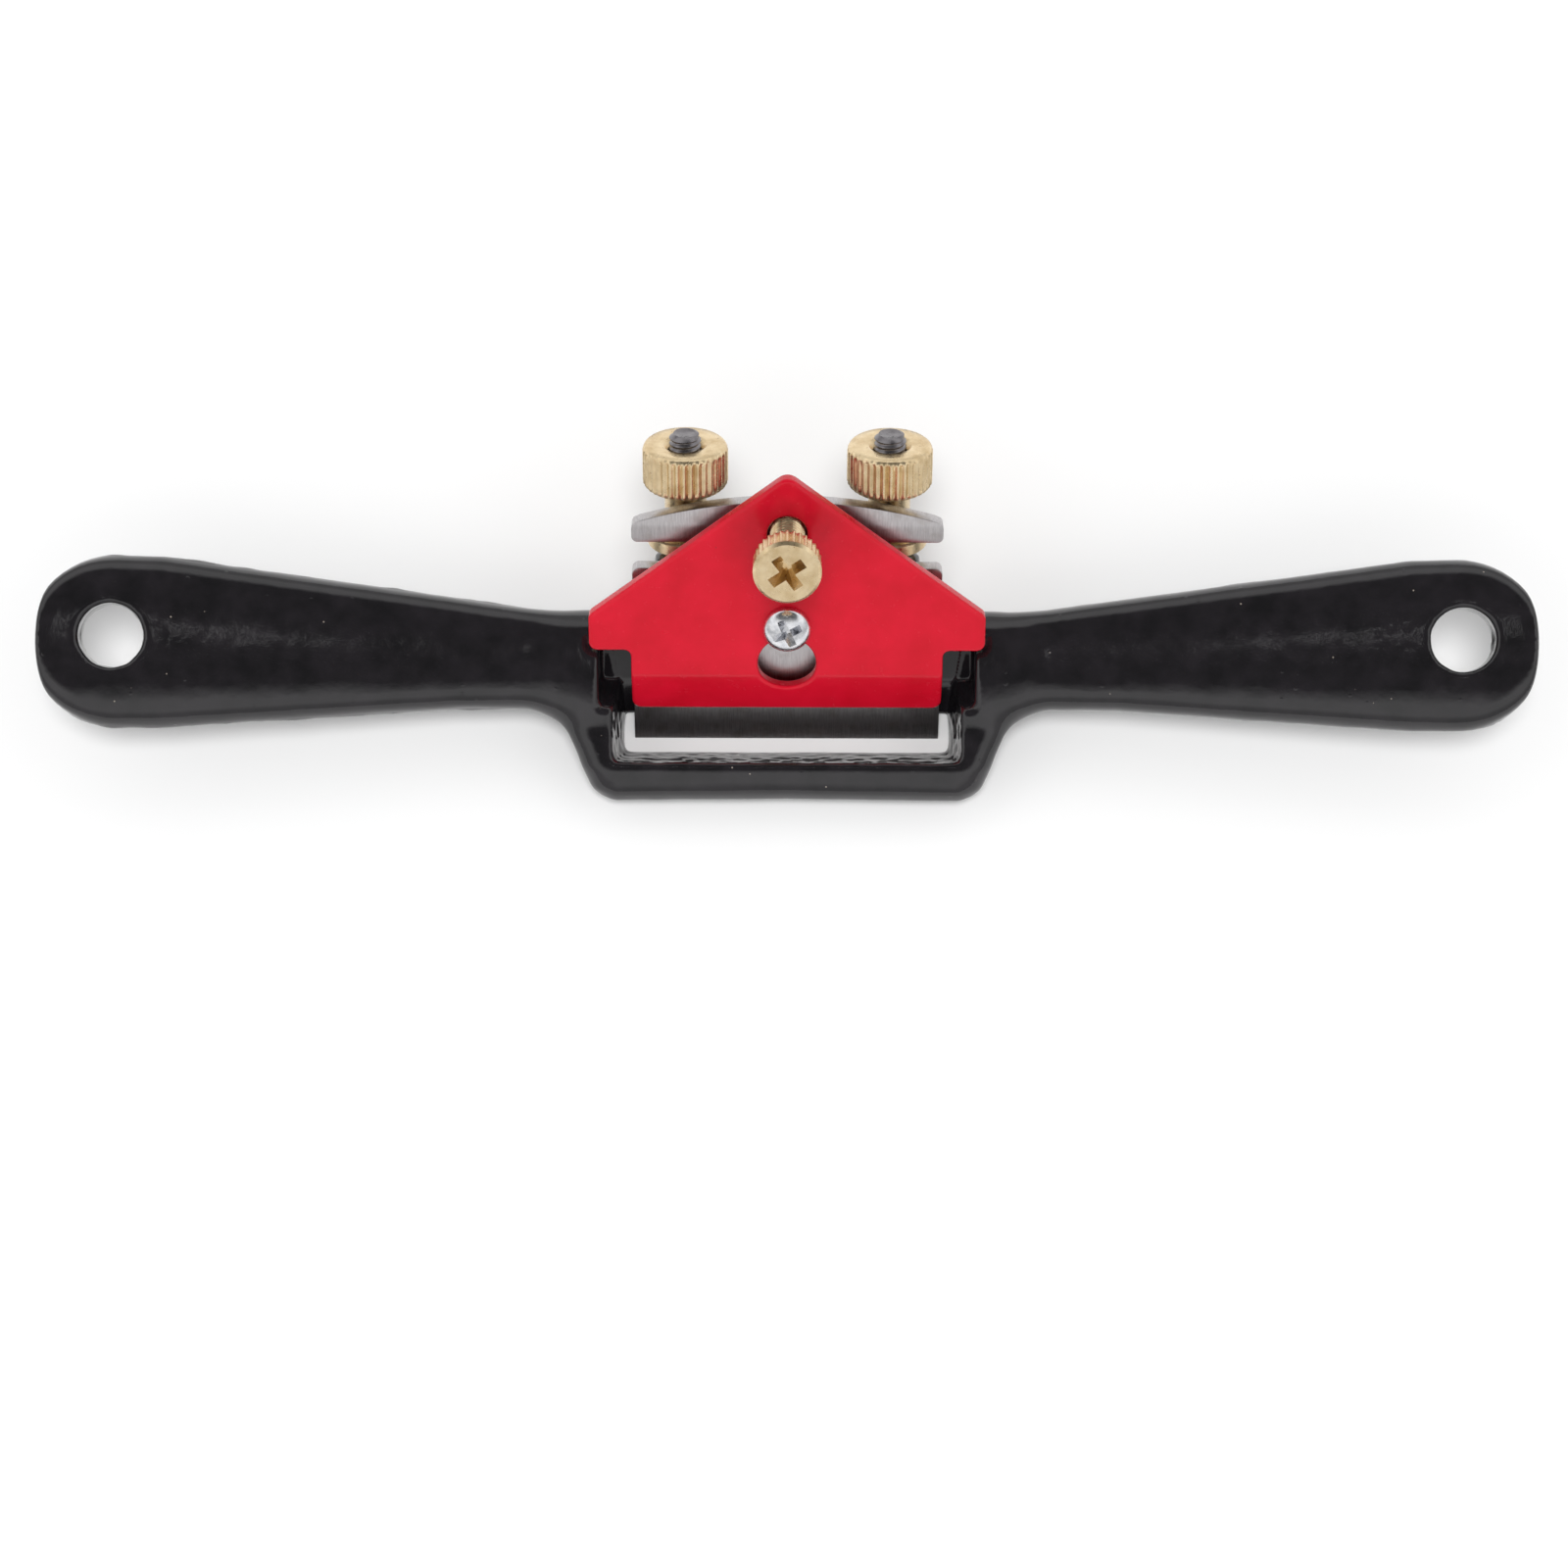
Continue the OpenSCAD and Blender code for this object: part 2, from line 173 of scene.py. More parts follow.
# ---- meshes ----
def surface_net(field, axes):
    """Corner places and four-sided faces of the zero level of a field that is sampled on a grid."""
    inside = field < 0
    size = np.array(field.shape)
    corners = [(i, j, k) for i in (0, 1) for j in (0, 1) for k in (0, 1)]
    total = sum(inside[i:size[0] - 1 + i, j:size[1] - 1 + j, k:size[2] - 1 + k].astype(np.int8)
                for i, j, k in corners)
    active = (total > 0) & (total < 8)
    number = np.full(active.shape, -1, np.int64)
    number[active] = np.arange(active.sum())
    cells = np.stack(np.nonzero(active), 1)
    place = np.zeros((len(cells), 3))
    hits = np.zeros(len(cells))
    quads = []
    for a in range(3):
        b, c = (a + 1) % 3, (a + 2) % 3
        along = np.eye(3, dtype=int)[a]
        for ob in (0, 1):
            for oc in (0, 1):
                corner = np.zeros(3, int)
                corner[b], corner[c] = ob, oc
                at = cells + corner
                f0, f1 = field[tuple(at.T)], field[tuple((at + along).T)]
                hit = (f0 < 0) != (f1 < 0)
                t = np.where(hit, f0 / np.where(hit, f0 - f1, 1), 0)
                place += hit[:, None] * (at + t[:, None] * along)
                hits += hit
        first = [slice(1, n - 1) for n in size]
        first[a] = slice(0, size[a] - 1)
        second = list(first)
        second[a] = slice(1, size[a])
        starts, ends = inside[tuple(first)], inside[tuple(second)]
        origin = np.array([s.start for s in first])
        for outward, mask in ((True, starts & ~ends), (False, ends & ~starts)):
            at = np.stack(np.nonzero(mask), 1) + origin
            ring = []
            for ob, oc in ((-1, -1), (0, -1), (0, 0), (-1, 0)):
                step = np.zeros(3, int)
                step[b], step[c] = ob, oc
                ring.append(number[tuple((at + step).T)])
            quads.append(np.stack(ring if outward else ring[::-1], 1))
    place /= hits[:, None]
    for a in range(3):
        place[:, a] = np.interp(place[:, a], np.arange(size[a]), axes[a])
    return place, np.concatenate(quads)


def slope(field, points, h=0.04):
    """Direction in which a field rises fastest, and its value."""
    sides = np.eye(3) * h
    rise = [field(*(points + s).T) - field(*(points - s).T) for s in sides]
    return np.stack(rise, 1) / (2 * h), field(*points.T)


def settle(field, points, rounds=3):
    """Moves points on to the zero level of a field, and gives the outward directions there."""
    for _ in range(rounds):
        up, value = slope(field, points)
        steep = np.maximum((up ** 2).sum(1), 0.2)
        points = points - np.clip(value / steep, -0.3, 0.3)[:, None] * up
    up = slope(field, points, 0.1)[0]
    return points, up / np.linalg.norm(up, axis=1)[:, None]


def spaced(*stretches):
    """Grid lines: each stretch is (from, to, step)."""
    parts = [np.linspace(a, b, int(round(abs(b - a) / step)) + 1)[:-1] for a, b, step in stretches]
    return np.append(np.concatenate(parts), stretches[-1][1])


def on_blade(points):
    """Places given along x, v and w, in the row frame."""
    x, v, w = np.asarray(points, float).T
    y, z = turned(v, w, -BED_ANGLE)
    return np.stack([x, y, z], 1)


def piece(name, points, faces, body, replaced, material, sharp=None):
    """Makes a mesh object from places in millimetres and puts it on its body."""
    mesh = bpy.data.meshes.new(name)
    mesh.from_pydata((np.asarray(points) * MM).tolist(), [], np.asarray(faces).tolist()
                     if isinstance(faces, np.ndarray) else faces)
    return dressed(name, mesh, body, replaced, material, sharp)


def dressed(name, mesh, body, replaced, material, sharp=None):
    """Makes a finished piece of a mesh: shading, material and body, and hides the imported part of the node
    that it stands for.
    """
    mesh.name = name
    mesh.validate()
    mesh.shade_smooth()
    if sharp:
        mesh.set_sharp_from_angle(angle=math.radians(sharp))
    mesh.materials.clear()
    mesh.materials.append(material)
    obj = bpy.data.objects.new(name, mesh)
    bpy.context.scene.collection.objects.link(obj)
    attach(obj, body)
    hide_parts(replaced)
    return obj


def sculpted(field, axes):
    """Places and faces of a shape given as a field over x and two other axes."""
    grid = np.meshgrid(*axes, indexing="ij", sparse=True)
    points, faces = surface_net(np.asarray(field(*grid), np.float32), axes)
    points, normals = settle(field, points)
    return points, normals, faces


def revolve(profile, segments, radius_at=None):
    """A turned piece around z. profile has (radius, height) from its low end; a radius of 0 is a pole, and
    a profile with none closes on itself, round a bore. radius_at(radius, height, angle, row) shapes it."""
    angles = np.arange(segments) * 2 * math.pi / segments
    points, rows = [], []
    for row, (r, h) in enumerate(profile):
        if r == 0:
            rows.append([len(points)])
            points.append((0, 0, h))
            continue
        radii = np.full(segments, r, float) if radius_at is None else radius_at(r, h, angles, row)
        rows.append(list(range(len(points), len(points) + segments)))
        points += [(q * math.cos(a), q * math.sin(a), h) for q, a in zip(radii, angles)]
    if len(rows[0]) > 1:
        rows.append(rows[0])
    faces = []
    for low, high in zip(rows, rows[1:]):
        for i in range(segments):
            j = (i + 1) % segments
            if len(low) == 1:
                faces.append((low[0], high[j], high[i]))
            elif len(high) == 1:
                faces.append((low[i], low[j], high[0]))
            else:
                faces.append((low[i], low[j], high[j], high[i]))
    return np.array(points), faces


def up_blade(points, x, w):
    """Places of a piece turned around z, moved on to an axis that runs up the blade."""
    a, b, h = np.asarray(points, float).T
    return on_blade(np.stack([x + a, h, w - b], 1))


def thread(pitch, depth, low, high):
    """Shapes a revolved piece with a screw thread from low to high."""
    def radius_at(r, h, angles, row):
        turn = (h / pitch - angles / (2 * math.pi)) % 1
        groove = np.clip(1.35 - 3.2 * np.abs(turn - 0.5), 0, 1)
        return r - depth * groove * smooth(h, low, low + pitch) * smooth(h, high, high - pitch / 2)
    return radius_at


# ---- body casting ----
HANDLE_PLAN = rounded([[20, 3.75], [46, 3.75], [87, 0.78], [105, 0.78], [105, 25.28], [87, 25.28],
                       [31, 17.5], [20, 17.5]], [0, 8, 8, 12.2, 12.2, 8, 8, 0])
HEAD_PLAN = rounded([[24.7, -10.2], [27.5, -7.7], [30.2, -2.9], [32.9, 0.75], [36, 2.6], [36, 17.6],
                     [-5, 17.6], [-5, -9.5]], [3, 5, 6, 6, 3, 0, 0, 0])
HEAD_SIDE = rounded([[-8.2, -6], [14.6, -6], [14.6, 1], [15.6, 8], [15.3, 11.2], [12, 13], [5.6, 11.6],
                     [-1, 8.8], [-6.5, 7.1], [-9.7, 5.2], [-10.75, 3.4], [-10.75, 2.2], [-9.1, 0]],
                    [0, 0, 1, 1.5, 1.5, 2, 6, 6, 4, 3, 1, 1, 0.5])
HEAD_FRONT = [[-5, -4], [23.6, -4], [25.4, 0], [27, 0.8], [30.5, 4], [38, 6.5], [38, 20], [-5, 20]]
TOE = [[-1.7, -1], [-1.7, 0], [-5.1, 6], [-5.6, 12], [-40, 12], [-40, -1]]
MOUTH_SIDE = [[-1.7, -1], [-1.7, 0], [-5.1, 6], [-5.6, 12], [3.3, 12], [3.25, 0], [3.25, -1]]
MOUTH_FRONT = [[-5, -1], [22.7, -1], [22.7, 0], [24.1, 7], [24.1, 60], [-5, 60]]
handle_plan = lookup(HANDLE_PLAN, (15, -14), (110, 30))
head_plan = lookup(HEAD_PLAN, (0, -14), (110, 30))
head_side = lookup(HEAD_SIDE, (-14, -2), (28, 25))
head_front = lookup(HEAD_FRONT, (0, -2), (110, 25))


def along_handle(ax, q):
    """Distance along the upswept line of a handle and height above it, at ax from the middle."""
    s, t = turned(ax - ROOT[0], q - ROOT[1], UPSWEEP)
    return s + ROOT[0], t


def handle_field(ax, p, q):
    """A handle: two crowned faces, cut to the outline of the grip, with its hanging hole."""
    s, t = along_handle(ax, q)
    share = (s - 31) / (87 - 31)
    middle = 10.9 + 2.13 * share
    half = 4.6 + 0.4 * share
    radius = 12 + 11.5 * share
    faces = meet(np.hypot(p - middle, t - (half - radius)) - radius,
                 np.hypot(p - middle, t + (half - radius)) - radius, 1.6)
    grip = meet(faces, handle_plan(ax, p) + 0.1, 2.6)
    grip = meet(grip, np.maximum(np.abs(t) - 4.95, s - 105.1), 3)
    return cut(grip, np.hypot(s - HANG_S, p - HANG_P) - 4.45, 0.9)


def frog_field(ax, v, w):
    """The plate under the blade, with the bosses of the studs behind it."""
    plate = meet(ax - 18.4, meet(slab(v, 6, 23.5), slab(w, -8.8, BLADE_T), 0.8), 0.8)
    boss = meet(np.hypot(ax - STUD_X, w - STUD_W) - 4.25, slab(v, 8, 26.6), 0.8)
    block = meet(meet(np.abs(ax - STUD_X) - 4.25, slab(w, STUD_W, BLADE_T), 0.6), slab(v, 8, 26.6), 0.8)
    return join(plate, join(boss, block, 0.6), 1.2)


def pocket_field(ax, y, z, v, w, sides):
    """The space above the bed, with seats for the wings of the cap, up to the toe."""
    bed = -BLADE_T - 0.03 - w
    low = meet(meet(sides, -20 - v, 0.5), bed, 0.3)
    middle = meet(meet(ax - 26.2, 8.2 - v, 1.2), bed, 0.3)
    high = meet(meet(ax - 27.9, 15.4 - v, 1.2), 1.9 - w, 0.5)
    toe = outline_distance(TOE, y, z)
    return cut(join(join(low, middle, 0.8), high, 0.8), toe, 0.8)


def body_field(x, y, z):
    """The whole casting."""
    ax = np.abs(x)
    p, q = turned(y, z, GRIP_TILT)
    v, w = turned(y, z, BED_ANGLE)
    head = meet(meet(head_side(y, z), head_plan(ax, p), 4.5), head_front(ax, z), 2)
    head = meet(head, ax - 37, 12)
    body = join(head, handle_field(ax, p, q), 4)
    body = join(body, frog_field(ax, v, w), 1.2)
    sides = outline_distance(MOUTH_FRONT, ax, z)
    body = cut(body, pocket_field(ax, y, z, v, w, sides), 1.0)
    body = cut(body, meet(outline_distance(MOUTH_SIDE, y, z), sides, 2.4), 0.9)
    return meet(body, -z, 0.5)


def cast_relief(points, normals):
    """How far the enamelled surface of the casting stands out: waves, runs, the parting line and crinkles."""
    x, y, z = points.T
    ax = np.abs(x)
    p, q = turned(y, z, GRIP_TILT)
    w = turned(y, z, BED_ANGLE)[1]
    t = along_handle(ax, q)[1]
    ahead = points + 0.1 * normals
    lean = (along_handle(np.abs(ahead[:, 0]), turned(ahead[:, 1], ahead[:, 2], GRIP_TILT)[1])[1] - t) / 0.1
    machined = np.maximum(smooth(z, 0.35, 0.1) * smooth(-normals[:, 2], 0.7, 0.95),
                          smooth(np.abs(w + BLADE_T), 0.3, 0.1) * (ax < 27))
    wave = 0.05 * noise(points, 7, 3) + 0.02 * noise(points, 2.6, 5) + 0.008 * noise(points, 1.1, 8)
    rough_end = np.where(x < 0, 0.75, 0.25 + 0.75 * smooth(ax, 92, 100))
    lumps = 0.5 + 0.5 * noise(points, (2.6, 2.6, 6), 11)
    flash = (0.05 + 0.6 * lumps ** 1.5 * (0.6 + 0.4 * noise(points, 9, 12))) * rough_end
    seam = flash * np.exp(-(t / 0.42) ** 2) * smooth(np.abs(lean), 0.6, 0.2) * smooth(ax, 33, 38)
    throat = smooth(ax, 26, 24.5) * smooth(y, -7, -6) * smooth(y, 4.5, 3.8) * smooth(z, 0.5, 1.2)
    throat = throat * smooth(normals[:, 2], 0.75, 0.45)
    ridges = 1 - 2 * np.abs(noise(points, (1.5, 1.5, 0.9), 21)) + 0.6 * noise(points, (0.9, 0.9, 0.7), 22)
    crinkle = 0.09 * ridges * throat
    rim = np.exp(-((np.hypot(along_handle(ax, q)[0] - HANG_S, p - HANG_P) - 4.6) / 0.8) ** 2) * (ax > 80)
    by_hole = smooth(ax, 78, 83) * smooth(ax, 91, 88) * smooth(np.abs(p - 13.9), 3.4, 1.2) * (q > ROOT[1])
    pimples = by_hole * (0.045 * noise(points, 0.95, 35) + 0.03 * noise(points, 1.6, 36))
    return (wave + crinkle + pimples) * (1 - machined) + seam + 0.07 * rim * noise(points, (1.2, 1.2, 4), 31)


def body_casting(material):
    axes = [spaced((-105.8, -37, 0.45), (-37, 37, 0.4), (37, 105.8, 0.45)),
            spaced((-11.6, 26.8, 0.4)), spaced((-0.7, 24, 0.4))]
    points, normals, faces = sculpted(body_field, axes)
    points = points + normals * cast_relief(points, normals)[:, None]
    points[:, 2] = np.maximum(points[:, 2], 0)
    points[:, 0] = np.clip(points[:, 0], 0.05 - TIP_X, TIP_X - 0.05)
    return piece("casting", points, faces, "frame", "body_casting", material)


# ---- cap iron ----
LIP_END = BEND_V - LIP_LEN * math.cos(math.radians(LIP_ANGLE))


def cap_shapes():
    """The cap seen from the front and from its side."""
    front = rounded([[27.48, 16.32], [27.48, 21.7], [0, 43.08], [-27.48, 21.7], [-27.48, 16.32],
                     [-21.68, 16.32], [-21.68, LIP_END - 0.1], [21.68, LIP_END - 0.1], [21.68, 16.32]],
                    [1.2, 1.2, 1.9, 1.2, 1.2, 1, 1.6, 1.6, 1])
    thick = CAP_TOP - CAP_UNDER
    lean = math.radians(LIP_ANGLE)
    bend = np.array([BEND_V, CAP_TOP])
    tip = bend - LIP_LEN * np.array([math.cos(lean), math.sin(lean)])
    heel = tip + thick * np.array([math.sin(lean), -math.cos(lean)])
    side = rounded([[48, CAP_UNDER], [48, CAP_TOP], bend, tip, heel,
                    [BEND_V + thick * math.tan(lean / 2), CAP_UNDER]], [0, 0, 1.4, 0, 0, 1])
    return lookup(front, (-29, 3), (29, 46)), lookup(side, (3, -2), (50, 8), 0.05)


def cap_iron(material):
    front, side = cap_shapes()

    def field(x, v, w):
        plate = meet(front(x, v), side(v, w), 0.4)
        slot = np.hypot(x, v - np.clip(v, KEYHOLE_V, CAP_SCREW_V)) - 2.2
        holes = join(np.hypot(x, v - KEYHOLE_V) - 4.05, slot, 0.5)
        plate = cut(plate, np.minimum(holes, np.hypot(x, v - THUMB_V) - 2.75), 0.5)
        return np.maximum(plate, 0.02 - w)

    axes = [spaced((-27.8, 27.8, 0.26)), spaced((5.2, 43.2, 0.26)), spaced((-0.3, 4.7, 0.2))]
    points, normals, faces = sculpted(field, axes)
    sag = 0.012 * noise(points, 5, 41) + 0.004 * noise(points, 1.2, 42)
    points = points + normals * np.minimum(sag, 0.0)[:, None]
    points[:, 2] = np.maximum(points[:, 2], 0.02)
    return piece("cap", on_blade(points), faces, "cap", "cap_iron", material)


# ---- blade ----
def plate_mesh(outlines, thickness, edge):
    """A flat plate with holes and softened edges, between z = -thickness and 0, in millimetres."""
    curve = bpy.data.curves.new("outline", "CURVE")
    curve.dimensions = "2D"
    curve.fill_mode = "BOTH"
    curve.extrude = thickness / 2 - edge
    curve.bevel_depth = edge
    curve.bevel_resolution = 2
    curve.offset = -edge
    for outline in outlines:
        spline = curve.splines.new("POLY")
        spline.points.add(len(outline) - 1)
        spline.points.foreach_set("co", [c for u, v in outline for c in (u, v, 0, 1)])
        spline.use_cyclic_u = True
    holder = bpy.data.objects.new("outline", curve)
    bpy.context.scene.collection.objects.link(holder)
    mesh = bpy.data.meshes.new_from_object(holder.evaluated_get(bpy.context.evaluated_depsgraph_get()))
    bpy.data.objects.remove(holder)
    bpy.data.curves.remove(curve)
    mesh.transform(Matrix.Translation((0, 0, -thickness / 2)))
    return mesh


def blade_outline():
    half = 21.5
    arch = [(x, 37.2 - 71 + math.sqrt(71 ** 2 - x ** 2)) for x in np.linspace(20.4, -20.4, 41)]
    right = rounded([[half, 0], [half, 27], [8.3, 27], [8.3, 31], [half, 31], [half, 35.6]],
                    [0, 1, 0.4, 0.4, 0.8, 0])
    left = [(-x, v) for x, v in right[::-1]]
    right = [p for p in right if p[1] < 33.5] + [(half, 33.0), (21.42, 33.45), (21.2, 33.82)]
    left = [(-21.2, 33.82), (-21.42, 33.45), (-half, 33.0)] + [p for p in left if p[1] < 33.5]
    return [tuple(p) for p in right] + arch + [tuple(p) for p in left]


def blade(material):
    slot = rounded([[-2.3, 15.8], [2.3, 15.8], [2.3, 23.4], [-2.3, 23.4]], [2.28] * 4)
    mesh = plate_mesh([blade_outline(), [tuple(p) for p in slot]], BLADE_T, 0.12)
    bm = bmesh.new()
    bm.from_mesh(mesh)
    bmesh.ops.remove_doubles(bm, verts=bm.verts, dist=0.002)
    grind = math.radians(28)
    bmesh.ops.bisect_plane(bm, geom=bm.verts[:] + bm.edges[:] + bm.faces[:], dist=0.0001,
                           plane_co=(0, 0, 0), plane_no=(0, -math.sin(grind), -math.cos(grind)),
                           clear_outer=True)
    bmesh.ops.holes_fill(bm, edges=[e for e in bm.edges if e.is_boundary])
    bmesh.ops.recalc_face_normals(bm, faces=bm.faces)
    bmesh.ops.scale(bm, vec=(MM, MM, MM), verts=bm.verts)
    bmesh.ops.rotate(bm, cent=(0, 0, 0), matrix=Matrix.Rotation(math.radians(BED_ANGLE), 3, "X"),
                     verts=bm.verts)
    bm.to_mesh(mesh)
    bm.free()
    return dressed("cutter", mesh, "blade", "blade", material, sharp=25)


# ---- studs and adjuster nuts ----
def stud(name, side, node, material):
    low, high, radius = 15.0, 45.0, 2.2
    heights = np.append(np.arange(24, high - 0.5, THREAD_PITCH / 10), high - 0.5)
    profile = [(0, low), (radius - 0.3, low), (radius, low + 0.3)] + [(radius, h) for h in heights]
    profile += [(radius - 0.25, high - 0.12), (radius - 0.45, high), (radius - 0.6, high),
                (radius - 0.75, high - 0.1), (0, high - 0.14)]
    points, faces = revolve(profile, 48, thread(THREAD_PITCH, 0.33, 26, high + 0.3))
    return piece(name, up_blade(points, side * STUD_X, STUD_W), faces, "frame", node, material,
                 sharp=50)


def knurling(teeth, depth, rows, seed):
    """Shapes the rows of a revolved piece with straight knurling, a little uneven from tooth to tooth."""
    cut_depth = depth * np.random.default_rng(seed).uniform(0.75, 1.1, teeth)

    def radius_at(r, h, angles, row):
        if row not in rows:
            return np.full(len(angles), r, float)
        place = angles * teeth / (2 * math.pi)
        groove = (0.5 - 0.5 * np.cos(place * 2 * math.pi)) ** 1.3
        return r - rows[row] * groove * cut_depth[place.astype(int) % teeth]

    return radius_at


def adjuster_nut(name, side, body, node, material):
    bore, flange, neck, head = 2.25, 5.3, 2.9, 5.9
    low, top = 37.2, 43.4
    profile = [(bore, 28.4), (flange - 0.25, 28.4), (flange, 28.65), (flange, 30.15), (flange - 0.25, 30.4),
               (neck + 0.2, 30.4), (neck, 30.6), (neck, 36.9), (neck + 0.25, low), (head - 0.75, low),
               (head - 0.35, low + 0.25), (head, low + 0.75), (head, low + 1.5), (head, top - 1.5),
               (head, top - 0.75), (head - 0.05, top - 0.55), (head - 0.24, top - 0.2), (head - 0.48, top),
               (head - 1.6, top), (3.4, top), (3.02, top), (2.9, top - 0.1), (bore + 0.1, top - 0.6),
               (bore, top - 0.7)]
    rows = {10: 0.5, 11: 1, 12: 1, 13: 1, 14: 1, 15: 0.35}
    points, faces = revolve(profile, 36 * 8, knurling(36, 0.4, rows, 51 + side))
    return piece(name, up_blade(points, side * STUD_X, STUD_W), faces, body, node, material,
                 sharp=40)


# ---- screws ----
def cross_cutter(arm, width, depth, top, turn):
    """A cross that narrows as it goes down, to cut a screw's recess with."""
    bm = bmesh.new()
    rings = []
    for scale, thin, z in ((1.18, 1.25, top + 0.6), (1, 1, top - 0.25), (0.3, 0.5, top - depth)):
        a, b = arm * scale, width / 2 * thin
        ring = [(a, -b), (a, b), (b, b), (b, a), (-b, a), (-b, b), (-a, b), (-a, -b), (-b, -b), (-b, -a),
                (b, -a), (b, -b)]
        rings.append([bm.verts.new((*turned(u, v, -turn), z)) for u, v in ring])
    for high, low in zip(rings, rings[1:]):
        for i in range(12):
            bm.faces.new((high[i], low[i], low[(i + 1) % 12], high[(i + 1) % 12]))
    bm.faces.new(rings[0])
    bm.faces.new(rings[-1][::-1])
    bmesh.ops.recalc_face_normals(bm, faces=bm.faces)
    mesh = bpy.data.meshes.new("recess")
    bm.to_mesh(mesh)
    bm.free()
    return mesh


def screw_mesh(points, faces, cutter):
    """A turned screw with its recess cut, as a mesh in metres, still around z."""
    whole = bpy.data.meshes.new("screw")
    whole.from_pydata(points.tolist(), [], faces)
    holder, tool = (bpy.data.objects.new("screw", m) for m in (whole, cutter))
    for o in (holder, tool):
        bpy.context.scene.collection.objects.link(o)
    step = holder.modifiers.new("recess", "BOOLEAN")
    step.object, step.operation, step.solver = tool, "DIFFERENCE", "EXACT"
    mesh = bpy.data.meshes.new_from_object(holder.evaluated_get(bpy.context.evaluated_depsgraph_get()))
    for o in (holder, tool):
        bpy.data.objects.remove(o)
    return mesh


def standing(mesh, v):
    """Moves a mesh that was turned around z, in millimetres, on to an axis that stands out of the blade."""
    mesh.transform(Matrix.Rotation(math.radians(BED_ANGLE), 4, "X") @ Matrix.Translation((0, v, 0)))
    mesh.transform(Matrix.Scale(MM, 4))
    return mesh


def thumb_screw(material):
    radius, head = 2.4, 4.65
    low, top = 11.5, 15.7
    heights = np.append(np.arange(1.2, low - 0.4, THREAD_PITCH / 10), low - 0.3)
    profile = [(0, 0.03), (radius - 0.7, 0.03), (radius - 0.1, 0.6)] + [(radius, h) for h in heights]
    start = len(profile)
    profile += [(radius + 0.1, low), (head - 0.6, low), (head - 0.25, low + 0.2), (head, low + 0.5),
                (head, low + 1.1), (head, top - 1), (head, top - 0.65), (head, top - 0.42),
                (head - 0.21, top - 0.21), (head - 0.42, top), (head - 1.3, top), (0, top - 0.03)]
    rows = {start + 2: 0.5, start + 3: 1, start + 4: 1, start + 5: 1, start + 6: 0.8}
    knurl = knurling(32, 0.38, rows, 61)
    turns = thread(THREAD_PITCH, 0.38, 2, low + 0.6)

    def radius_at(r, h, angles, row):
        return turns(r, h, angles, row) if row < start else knurl(r, h, angles, row)

    points, faces = revolve(profile, 32 * 8, radius_at)
    mesh = screw_mesh(points, faces, cross_cutter(2.55, 1.4, 2.8, top, 35))
    return dressed("thumbscrew", standing(mesh, THUMB_V), "thumb_screw", "thumb_screw", material,
                   sharp=35)


def cap_screw(material):
    radius, head, seat, height = 2.0, 3.28, CAP_TOP + 0.02, 2.06
    dome = [(head * math.cos(a), seat + 0.65 + (height - 0.65) * math.sin(a))
            for a in np.linspace(0, math.pi / 2, 14)[:-1]]
    heights = np.append(np.arange(-6, seat, THREAD_PITCH / 8), seat)
    profile = [(0, -7.9), (radius - 0.3, -7.9), (radius, -7.6)] + [(radius, h) for h in heights]
    start = len(profile)
    profile += [(head - 0.15, seat), (head, seat + 0.15)] + dome + [(0, seat + height)]
    turns = thread(THREAD_PITCH, 0.25, -5.6, seat - 0.4)

    def radius_at(r, h, angles, row):
        return turns(r, h, angles, row) if row < start else np.full(len(angles), r, float)

    points, faces = revolve(profile, 96, radius_at)
    mesh = screw_mesh(points, faces, cross_cutter(2.2, 1.1, 1.7, seat + height, 24))
    return dressed("panscrew", standing(mesh, CAP_SCREW_V), "frame", "cap_screw", material,
                   sharp=35)


# ---- materials ----
def new_material(name, **sockets):
    """A material and its shader, whose named sockets are set."""
    made = bpy.data.materials.new(name)
    made.use_nodes = True
    shader = made.node_tree.nodes["Principled BSDF"]
    for socket, value in sockets.items():
        shader.inputs[socket.replace("_", " ")].default_value = value
    return made, made.node_tree, shader


def add(tree, kind, inputs=None, **settings):
    """A node with its settings and inputs: values, or sockets to link."""
    made = tree.nodes.new(kind)
    for key, value in settings.items():
        setattr(made, key, value)
    for key, value in (inputs or {}).items():
        if isinstance(value, bpy.types.NodeSocket):
            tree.links.new(value, made.inputs[key])
        else:
            made.inputs[key].default_value = value
    return made


def placed(tree, lean=0, scale=(1, 1, 1), at=(0, 0, 0)):
    """Places on the object in millimetres, on axes leaning back by lean degrees, from at, times scale."""
    coords = add(tree, "ShaderNodeTexCoord").outputs["Object"]
    level = add(tree, "ShaderNodeMapping", {"Vector": coords, "Scale": (1000, 1000, 1000),
                                            "Rotation": (-math.radians(lean), 0, 0)}).outputs[0]
    moved = add(tree, "ShaderNodeVectorMath", {0: level, 1: at}, operation="SUBTRACT").outputs[0]
    return add(tree, "ShaderNodeVectorMath", {0: moved, 1: scale}, operation="MULTIPLY").outputs[0]


def clouds(tree, where, scale, detail=3, rough=0.55):
    return add(tree, "ShaderNodeTexNoise", {"Vector": where, "Scale": scale, "Detail": detail,
                                            "Roughness": rough}).outputs["Fac"]


def ramp(tree, value, *stops):
    """Colours or numbers over a value: each stop is (position, colour or number)."""
    made = add(tree, "ShaderNodeValToRGB", {"Fac": value})
    elements = made.color_ramp.elements
    while len(elements) < len(stops):
        elements.new(1)
    for element, (position, colour) in zip(elements, stops):
        element.position = position
        element.color = (*colour, 1) if isinstance(colour, tuple) else (colour, colour, colour, 1)
    return made.outputs["Color"]


